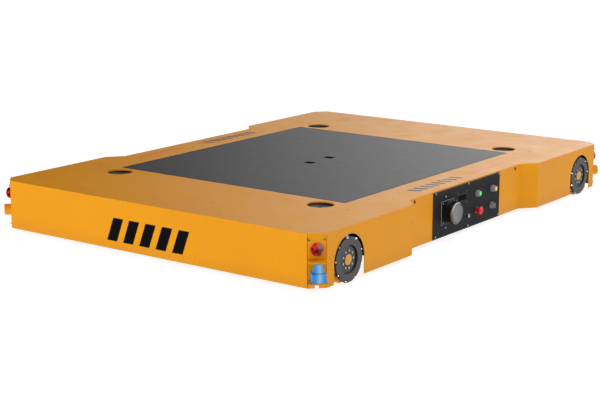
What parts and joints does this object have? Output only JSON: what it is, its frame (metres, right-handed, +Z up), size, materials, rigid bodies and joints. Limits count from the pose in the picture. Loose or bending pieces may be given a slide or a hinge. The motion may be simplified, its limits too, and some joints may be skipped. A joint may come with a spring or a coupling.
{
  "type": "mecanum wheel robot",
  "caption": "Low flat omnidirectional transport platform: waisted orange casing, dark lift-off deck covers, mecanum wheels in the corners and a control panel on one side.",
  "frame": {"origin": "on the floor under the middle of the deck", "axes": "+X to the right side, which has the control panel, +Y to the rear, +Z up"},
  "size_m": [1.8846, 2.5846, 0.242],
  "materials": {
    "orange_paint": "satin powder coat",
    "deck_paint": "matt textured paint",
    "frame_paint": "matt primer",
    "panel_black": "satin",
    "wheel_metal": "dark zinc and paint",
    "roller_urethane": "satin polyurethane",
    "red_lens": "gloss clear-tinted",
    "estop_red": "gloss",
    "scanner_blue": "satin",
    "green_lens": "gloss",
    "amber_lens": "gloss",
    "selector_grey": "satin",
    "fastener_steel": "zinc plated",
    "cap_metal": "turned",
    "motor_casting": "painted casting",
    "battery_case": "moulded",
    "cabinet_case": "painted"
  },
  "bodies": {
    "chassis": {"base_frame": "frame_paint", "top_plate": "orange_paint", "end_skirts": "orange_paint", "side_skirts": "orange_paint", "corner_panels": "orange_paint", "signal_lamps": "red_lens", "laser_scanners": "scanner_blue", "control_panel": "panel_black", "charge_connector": "panel_black", "drive_units": "motor_casting", "battery_pack": "battery_case", "control_cabinet": "cabinet_case", "screws_and_bezels": "fastener_steel"},
    "wheel_front_left": {"wheel_front_left": "wheel_metal"},
    "wheel_front_right": {"wheel_front_right": "wheel_metal"},
    "wheel_rear_left": {"wheel_rear_left": "wheel_metal"},
    "wheel_rear_right": {"wheel_rear_right": "wheel_metal"},
    "roller_front_left_1": {"roller_front_left_1": "roller_urethane"},
    "roller_front_left_2": {"roller_front_left_2": "roller_urethane"},
    "roller_front_left_3": {"roller_front_left_3": "roller_urethane"},
    "roller_front_left_4": {"roller_front_left_4": "roller_urethane"},
    "roller_front_left_5": {"roller_front_left_5": "roller_urethane"},
    "roller_front_left_6": {"roller_front_left_6": "roller_urethane"},
    "roller_front_left_7": {"roller_front_left_7": "roller_urethane"},
    "roller_front_left_8": {"roller_front_left_8": "roller_urethane"},
    "roller_front_left_9": {"roller_front_left_9": "roller_urethane"},
    "roller_front_right_1": {"roller_front_right_1": "roller_urethane"},
    "roller_front_right_2": {"roller_front_right_2": "roller_urethane"},
    "roller_front_right_3": {"roller_front_right_3": "roller_urethane"},
    "roller_front_right_4": {"roller_front_right_4": "roller_urethane"},
    "roller_front_right_5": {"roller_front_right_5": "roller_urethane"},
    "roller_front_right_6": {"roller_front_right_6": "roller_urethane"},
    "roller_front_right_7": {"roller_front_right_7": "roller_urethane"},
    "roller_front_right_8": {"roller_front_right_8": "roller_urethane"},
    "roller_front_right_9": {"roller_front_right_9": "roller_urethane"},
    "roller_rear_left_1": {"roller_rear_left_1": "roller_urethane"},
    "roller_rear_left_2": {"roller_rear_left_2": "roller_urethane"},
    "roller_rear_left_3": {"roller_rear_left_3": "roller_urethane"},
    "roller_rear_left_4": {"roller_rear_left_4": "roller_urethane"},
    "roller_rear_left_5": {"roller_rear_left_5": "roller_urethane"},
    "roller_rear_left_6": {"roller_rear_left_6": "roller_urethane"},
    "roller_rear_left_7": {"roller_rear_left_7": "roller_urethane"},
    "roller_rear_left_8": {"roller_rear_left_8": "roller_urethane"},
    "roller_rear_left_9": {"roller_rear_left_9": "roller_urethane"},
    "roller_rear_right_1": {"roller_rear_right_1": "roller_urethane"},
    "roller_rear_right_2": {"roller_rear_right_2": "roller_urethane"},
    "roller_rear_right_3": {"roller_rear_right_3": "roller_urethane"},
    "roller_rear_right_4": {"roller_rear_right_4": "roller_urethane"},
    "roller_rear_right_5": {"roller_rear_right_5": "roller_urethane"},
    "roller_rear_right_6": {"roller_rear_right_6": "roller_urethane"},
    "roller_rear_right_7": {"roller_rear_right_7": "roller_urethane"},
    "roller_rear_right_8": {"roller_rear_right_8": "roller_urethane"},
    "roller_rear_right_9": {"roller_rear_right_9": "roller_urethane"},
    "start_button": {"start_button": "green_lens"},
    "reset_button": {"reset_button": "amber_lens"},
    "estop_button": {"estop_button": "estop_red"},
    "mode_selector": {"mode_selector": "selector_grey"},
    "socket_cap": {"socket_cap": "cap_metal"},
    "deck_cover_front": {"deck_cover_front": "deck_paint"},
    "deck_cover_rear": {"deck_cover_rear": "deck_paint"}
  },
  "joints": [
    {"name": "wheel_front_left_spin", "type": "hinge", "parent": "chassis", "child": "wheel_front_left", "pos_m": [-0.8545, -1.038, 0.1015], "axis": [1, 0, 0], "continuous": true},
    {"name": "wheel_front_right_spin", "type": "hinge", "parent": "chassis", "child": "wheel_front_right", "pos_m": [0.8545, -1.038, 0.1015], "axis": [1, 0, 0], "continuous": true},
    {"name": "wheel_rear_left_spin", "type": "hinge", "parent": "chassis", "child": "wheel_rear_left", "pos_m": [-0.8545, 1.038, 0.1015], "axis": [1, 0, 0], "continuous": true},
    {"name": "wheel_rear_right_spin", "type": "hinge", "parent": "chassis", "child": "wheel_rear_right", "pos_m": [0.8545, 1.038, 0.1015], "axis": [1, 0, 0], "continuous": true},
    {"name": "roller_front_left_1_spin", "type": "hinge", "parent": "wheel_front_left", "child": "roller_front_left_1", "pos_m": [-0.8545, -1.10901, 0.1425], "axis": [-0.7071, -0.3536, -0.6124], "continuous": true},
    {"name": "roller_front_left_2_spin", "type": "hinge", "parent": "wheel_front_left", "child": "roller_front_left_2", "pos_m": [-0.8545, -1.06605, 0.17855], "axis": [-0.7071, -0.6645, -0.2418], "continuous": true},
    {"name": "roller_front_left_3_spin", "type": "hinge", "parent": "wheel_front_left", "child": "roller_front_left_3", "pos_m": [-0.8545, -1.00995, 0.17855], "axis": [-0.7071, -0.6645, 0.2418], "continuous": true},
    {"name": "roller_front_left_4_spin", "type": "hinge", "parent": "wheel_front_left", "child": "roller_front_left_4", "pos_m": [-0.8545, -0.96699, 0.1425], "axis": [-0.7071, -0.3536, 0.6124], "continuous": true},
    {"name": "roller_front_left_5_spin", "type": "hinge", "parent": "wheel_front_left", "child": "roller_front_left_5", "pos_m": [-0.8545, -0.95725, 0.08726], "axis": [-0.7071, 0.1228, 0.6964], "continuous": true},
    {"name": "roller_front_left_6_spin", "type": "hinge", "parent": "wheel_front_left", "child": "roller_front_left_6", "pos_m": [-0.8545, -0.98529, 0.03868], "axis": [-0.7071, 0.5417, 0.4545], "continuous": true},
    {"name": "roller_front_left_7_spin", "type": "hinge", "parent": "wheel_front_left", "child": "roller_front_left_7", "pos_m": [-0.8545, -1.038, 0.0195], "axis": [-0.7071, 0.7071, 0], "continuous": true},
    {"name": "roller_front_left_8_spin", "type": "hinge", "parent": "wheel_front_left", "child": "roller_front_left_8", "pos_m": [-0.8545, -1.09071, 0.03868], "axis": [-0.7071, 0.5417, -0.4545], "continuous": true},
    {"name": "roller_front_left_9_spin", "type": "hinge", "parent": "wheel_front_left", "child": "roller_front_left_9", "pos_m": [-0.8545, -1.11875, 0.08726], "axis": [-0.7071, 0.1228, -0.6964], "continuous": true},
    {"name": "roller_front_right_1_spin", "type": "hinge", "parent": "wheel_front_right", "child": "roller_front_right_1", "pos_m": [0.8545, -0.96699, 0.1425], "axis": [0.7071, -0.3536, 0.6124], "continuous": true},
    {"name": "roller_front_right_2_spin", "type": "hinge", "parent": "wheel_front_right", "child": "roller_front_right_2", "pos_m": [0.8545, -1.00995, 0.17855], "axis": [0.7071, -0.6645, 0.2418], "continuous": true},
    {"name": "roller_front_right_3_spin", "type": "hinge", "parent": "wheel_front_right", "child": "roller_front_right_3", "pos_m": [0.8545, -1.06605, 0.17855], "axis": [0.7071, -0.6645, -0.2418], "continuous": true},
    {"name": "roller_front_right_4_spin", "type": "hinge", "parent": "wheel_front_right", "child": "roller_front_right_4", "pos_m": [0.8545, -1.10901, 0.1425], "axis": [0.7071, -0.3536, -0.6124], "continuous": true},
    {"name": "roller_front_right_5_spin", "type": "hinge", "parent": "wheel_front_right", "child": "roller_front_right_5", "pos_m": [0.8545, -1.11875, 0.08726], "axis": [0.7071, 0.1228, -0.6964], "continuous": true},
    {"name": "roller_front_right_6_spin", "type": "hinge", "parent": "wheel_front_right", "child": "roller_front_right_6", "pos_m": [0.8545, -1.09071, 0.03868], "axis": [0.7071, 0.5417, -0.4545], "continuous": true},
    {"name": "roller_front_right_7_spin", "type": "hinge", "parent": "wheel_front_right", "child": "roller_front_right_7", "pos_m": [0.8545, -1.038, 0.0195], "axis": [0.7071, 0.7071, 0], "continuous": true},
    {"name": "roller_front_right_8_spin", "type": "hinge", "parent": "wheel_front_right", "child": "roller_front_right_8", "pos_m": [0.8545, -0.98529, 0.03868], "axis": [0.7071, 0.5417, 0.4545], "continuous": true},
    {"name": "roller_front_right_9_spin", "type": "hinge", "parent": "wheel_front_right", "child": "roller_front_right_9", "pos_m": [0.8545, -0.95725, 0.08726], "axis": [0.7071, 0.1228, 0.6964], "continuous": true},
    {"name": "roller_rear_left_1_spin", "type": "hinge", "parent": "wheel_rear_left", "child": "roller_rear_left_1", "pos_m": [-0.8545, 0.96699, 0.1425], "axis": [-0.7071, 0.3536, 0.6124], "continuous": true},
    {"name": "roller_rear_left_2_spin", "type": "hinge", "parent": "wheel_rear_left", "child": "roller_rear_left_2", "pos_m": [-0.8545, 1.00995, 0.17855], "axis": [-0.7071, 0.6645, 0.2418], "continuous": true},
    {"name": "roller_rear_left_3_spin", "type": "hinge", "parent": "wheel_rear_left", "child": "roller_rear_left_3", "pos_m": [-0.8545, 1.06605, 0.17855], "axis": [-0.7071, 0.6645, -0.2418], "continuous": true},
    {"name": "roller_rear_left_4_spin", "type": "hinge", "parent": "wheel_rear_left", "child": "roller_rear_left_4", "pos_m": [-0.8545, 1.10901, 0.1425], "axis": [-0.7071, 0.3536, -0.6124], "continuous": true},
    {"name": "roller_rear_left_5_spin", "type": "hinge", "parent": "wheel_rear_left", "child": "roller_rear_left_5", "pos_m": [-0.8545, 1.11875, 0.08726], "axis": [-0.7071, -0.1228, -0.6964], "continuous": true},
    {"name": "roller_rear_left_6_spin", "type": "hinge", "parent": "wheel_rear_left", "child": "roller_rear_left_6", "pos_m": [-0.8545, 1.09071, 0.03868], "axis": [-0.7071, -0.5417, -0.4545], "continuous": true},
    {"name": "roller_rear_left_7_spin", "type": "hinge", "parent": "wheel_rear_left", "child": "roller_rear_left_7", "pos_m": [-0.8545, 1.038, 0.0195], "axis": [-0.7071, -0.7071, 0], "continuous": true},
    {"name": "roller_rear_left_8_spin", "type": "hinge", "parent": "wheel_rear_left", "child": "roller_rear_left_8", "pos_m": [-0.8545, 0.98529, 0.03868], "axis": [-0.7071, -0.5417, 0.4545], "continuous": true},
    {"name": "roller_rear_left_9_spin", "type": "hinge", "parent": "wheel_rear_left", "child": "roller_rear_left_9", "pos_m": [-0.8545, 0.95725, 0.08726], "axis": [-0.7071, -0.1228, 0.6964], "continuous": true},
    {"name": "roller_rear_right_1_spin", "type": "hinge", "parent": "wheel_rear_right", "child": "roller_rear_right_1", "pos_m": [0.8545, 1.10901, 0.1425], "axis": [0.7071, 0.3536, -0.6124], "continuous": true},
    {"name": "roller_rear_right_2_spin", "type": "hinge", "parent": "wheel_rear_right", "child": "roller_rear_right_2", "pos_m": [0.8545, 1.06605, 0.17855], "axis": [0.7071, 0.6645, -0.2418], "continuous": true},
    {"name": "roller_rear_right_3_spin", "type": "hinge", "parent": "wheel_rear_right", "child": "roller_rear_right_3", "pos_m": [0.8545, 1.00995, 0.17855], "axis": [0.7071, 0.6645, 0.2418], "continuous": true},
    {"name": "roller_rear_right_4_spin", "type": "hinge", "parent": "wheel_rear_right", "child": "roller_rear_right_4", "pos_m": [0.8545, 0.96699, 0.1425], "axis": [0.7071, 0.3536, 0.6124], "continuous": true},
    {"name": "roller_rear_right_5_spin", "type": "hinge", "parent": "wheel_rear_right", "child": "roller_rear_right_5", "pos_m": [0.8545, 0.95725, 0.08726], "axis": [0.7071, -0.1228, 0.6964], "continuous": true},
    {"name": "roller_rear_right_6_spin", "type": "hinge", "parent": "wheel_rear_right", "child": "roller_rear_right_6", "pos_m": [0.8545, 0.98529, 0.03868], "axis": [0.7071, -0.5417, 0.4545], "continuous": true},
    {"name": "roller_rear_right_7_spin", "type": "hinge", "parent": "wheel_rear_right", "child": "roller_rear_right_7", "pos_m": [0.8545, 1.038, 0.0195], "axis": [0.7071, -0.7071, 0], "continuous": true},
    {"name": "roller_rear_right_8_spin", "type": "hinge", "parent": "wheel_rear_right", "child": "roller_rear_right_8", "pos_m": [0.8545, 1.09071, 0.03868], "axis": [0.7071, -0.5417, -0.4545], "continuous": true},
    {"name": "roller_rear_right_9_spin", "type": "hinge", "parent": "wheel_rear_right", "child": "roller_rear_right_9", "pos_m": [0.8545, 1.11875, 0.08726], "axis": [0.7071, -0.1228, -0.6964], "continuous": true},
    {"name": "start_press", "type": "slide", "parent": "chassis", "child": "start_button", "axis": [-1, 0, 0], "range_m": [0, 0.003], "stiffness_N_per_m": 600},
    {"name": "reset_press", "type": "slide", "parent": "chassis", "child": "reset_button", "axis": [-1, 0, 0], "range_m": [0, 0.003], "stiffness_N_per_m": 600},
    {"name": "estop_press", "type": "slide", "parent": "chassis", "child": "estop_button", "axis": [-1, 0, 0], "range_m": [0, 0.004]},
    {"name": "mode_turn", "type": "hinge", "parent": "chassis", "child": "mode_selector", "pos_m": [0.841, 0.218, 0.09], "axis": [1, 0, 0], "range_deg": [-45, 45]},
    {"name": "cap_hinge", "type": "hinge", "parent": "chassis", "child": "socket_cap", "pos_m": [0.8815, -0.182, 0.185], "axis": [0, -1, 0], "range_deg": [0, 110]},
    {"name": "front_cover_lift", "type": "slide", "parent": "chassis", "child": "deck_cover_front", "axis": [0, 0, 1], "range_m": [0, 0.3]},
    {"name": "rear_cover_lift", "type": "slide", "parent": "chassis", "child": "deck_cover_rear", "axis": [0, 0, 1], "range_m": [0, 0.3]}
  ]
}
